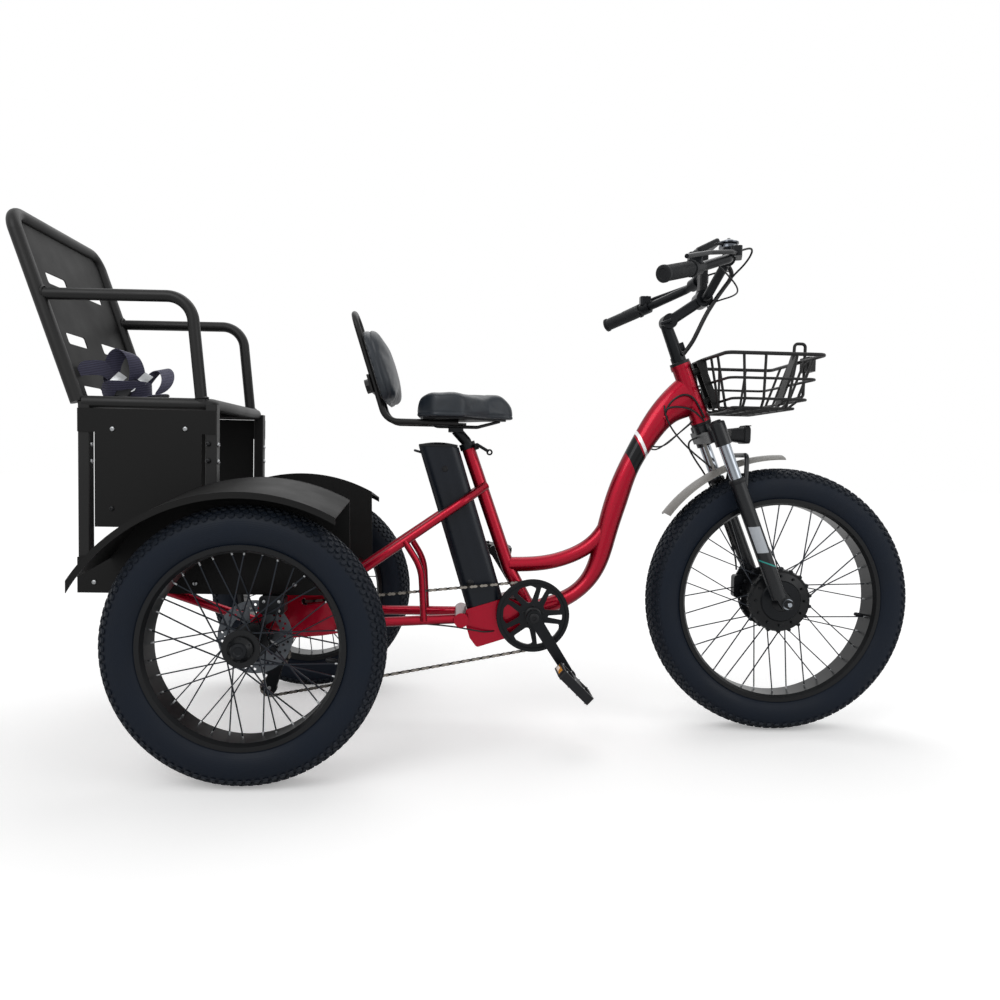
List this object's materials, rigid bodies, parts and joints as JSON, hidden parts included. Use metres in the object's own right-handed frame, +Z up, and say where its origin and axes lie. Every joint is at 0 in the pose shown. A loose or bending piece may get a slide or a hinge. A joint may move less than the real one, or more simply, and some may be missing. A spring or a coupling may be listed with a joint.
{
  "type": "electric tricycle",
  "caption": "Electric tricycle with a step-through frame, front hub motor, wire basket, rider's saddle with backrest, and a passenger bench over the rear wheels",
  "frame": {"origin": "on the ground, centred under the overall bounding box", "axes": "+X forward, +Y to the rider's left, +Z up"},
  "size_m": [2.175, 0.86, 1.2505],
  "materials": {
    "battery_case": "satin case",
    "belt_webbing": "woven webbing",
    "black_aluminium": "anodised black",
    "black_paint": "satin powder coat",
    "black_plastic": "moulded",
    "black_rim": "anodised black aluminium",
    "black_steel_tube": "satin powder coat",
    "cable_black": "cable housing",
    "chrome": "hard chrome",
    "drive_steel": "oiled steel",
    "fender_grey": "moulded grey",
    "fork_black": "gloss paint",
    "frame_red": "metallic gloss paint",
    "grip_rubber": "moulded",
    "rotor_steel": "cut stainless steel",
    "seat_vinyl": "stitched vinyl",
    "silver": "polished",
    "tyre_rubber": "moulded rubber"
  },
  "bodies": {
    "chassis": {"main_frame": "frame_red", "rear_frame": "frame_red", "rear_axle": "drive_steel", "rear_calipers": "black_aluminium", "chain": "drive_steel", "derailleur": "black_aluminium", "battery": "battery_case", "seat_post": "black_aluminium", "saddle": "seat_vinyl", "saddle_rails": "black_plastic", "backrest_frame": "black_steel_tube", "backrest_pad": "seat_vinyl", "backrest_bracket": "black_steel_tube", "bench_frame": "black_steel_tube", "bench_legs": "black_paint", "bench_side_panels": "black_paint", "bench_seat_pan": "black_paint", "bench_back_panel": "black_paint", "seat_belt": "belt_webbing", "fender_right": "black_paint", "fender_left": "black_paint", "basket": "black_steel_tube", "frame_cables": "cable_black"},
    "steering": {"fork_crown": "fork_black", "fork_stanchions": "chrome", "fork_lowers": "fork_black", "front_axle": "drive_steel", "stem": "black_aluminium", "handlebar": "black_aluminium", "grips": "grip_rubber", "brake_levers": "black_aluminium", "display": "black_plastic", "bell": "silver", "headlamp": "black_plastic", "front_fender": "fender_grey", "front_caliper": "black_aluminium", "steering_cables": "cable_black"},
    "front_wheel_set": {"front_tyre": "tyre_rubber", "front_wheel": "black_rim", "front_rotor": "rotor_steel"},
    "right_wheel_set": {"rear_tyre_right": "tyre_rubber", "rear_wheel_right": "black_rim", "rear_rotor_right": "rotor_steel"},
    "left_wheel_set": {"rear_tyre_left": "tyre_rubber", "rear_wheel_left": "black_rim", "rear_rotor_left": "rotor_steel"},
    "crankset": {"chainring": "black_aluminium", "crank_arms": "black_aluminium"},
    "right_pedal": {"pedal_right": "black_plastic"},
    "left_pedal": {"pedal_left": "black_plastic"}
  },
  "joints": [
    {"name": "steer", "type": "hinge", "parent": "chassis", "child": "steering", "pos_m": [0.72339, 0, 0.33026], "axis": [-0.3746, 0, 0.9272], "range_deg": [-40, 40]},
    {"name": "front_wheel_spin", "type": "hinge", "parent": "steering", "child": "front_wheel_set", "pos_m": [0.7475, 0, 0.34], "axis": [0, 1, 0], "continuous": true},
    {"name": "right_wheel_spin", "type": "hinge", "parent": "chassis", "child": "right_wheel_set", "pos_m": [-0.5155, -0.37, 0.292], "axis": [0, 1, 0], "continuous": true},
    {"name": "left_wheel_spin", "type": "hinge", "parent": "chassis", "child": "left_wheel_set", "pos_m": [-0.5155, 0.37, 0.292], "axis": [0, 1, 0], "continuous": true},
    {"name": "crank_spin", "type": "hinge", "parent": "chassis", "child": "crankset", "pos_m": [0.1085, 0, 0.301], "axis": [0, 1, 0], "continuous": true},
    {"name": "right_pedal_spin", "type": "hinge", "parent": "crankset", "child": "right_pedal", "pos_m": [0.20109, -0.165, 0.15843], "axis": [0, 1, 0], "continuous": true},
    {"name": "left_pedal_spin", "type": "hinge", "parent": "crankset", "child": "left_pedal", "pos_m": [0.01591, 0.165, 0.44357], "axis": [0, 1, 0], "continuous": true}
  ]
}
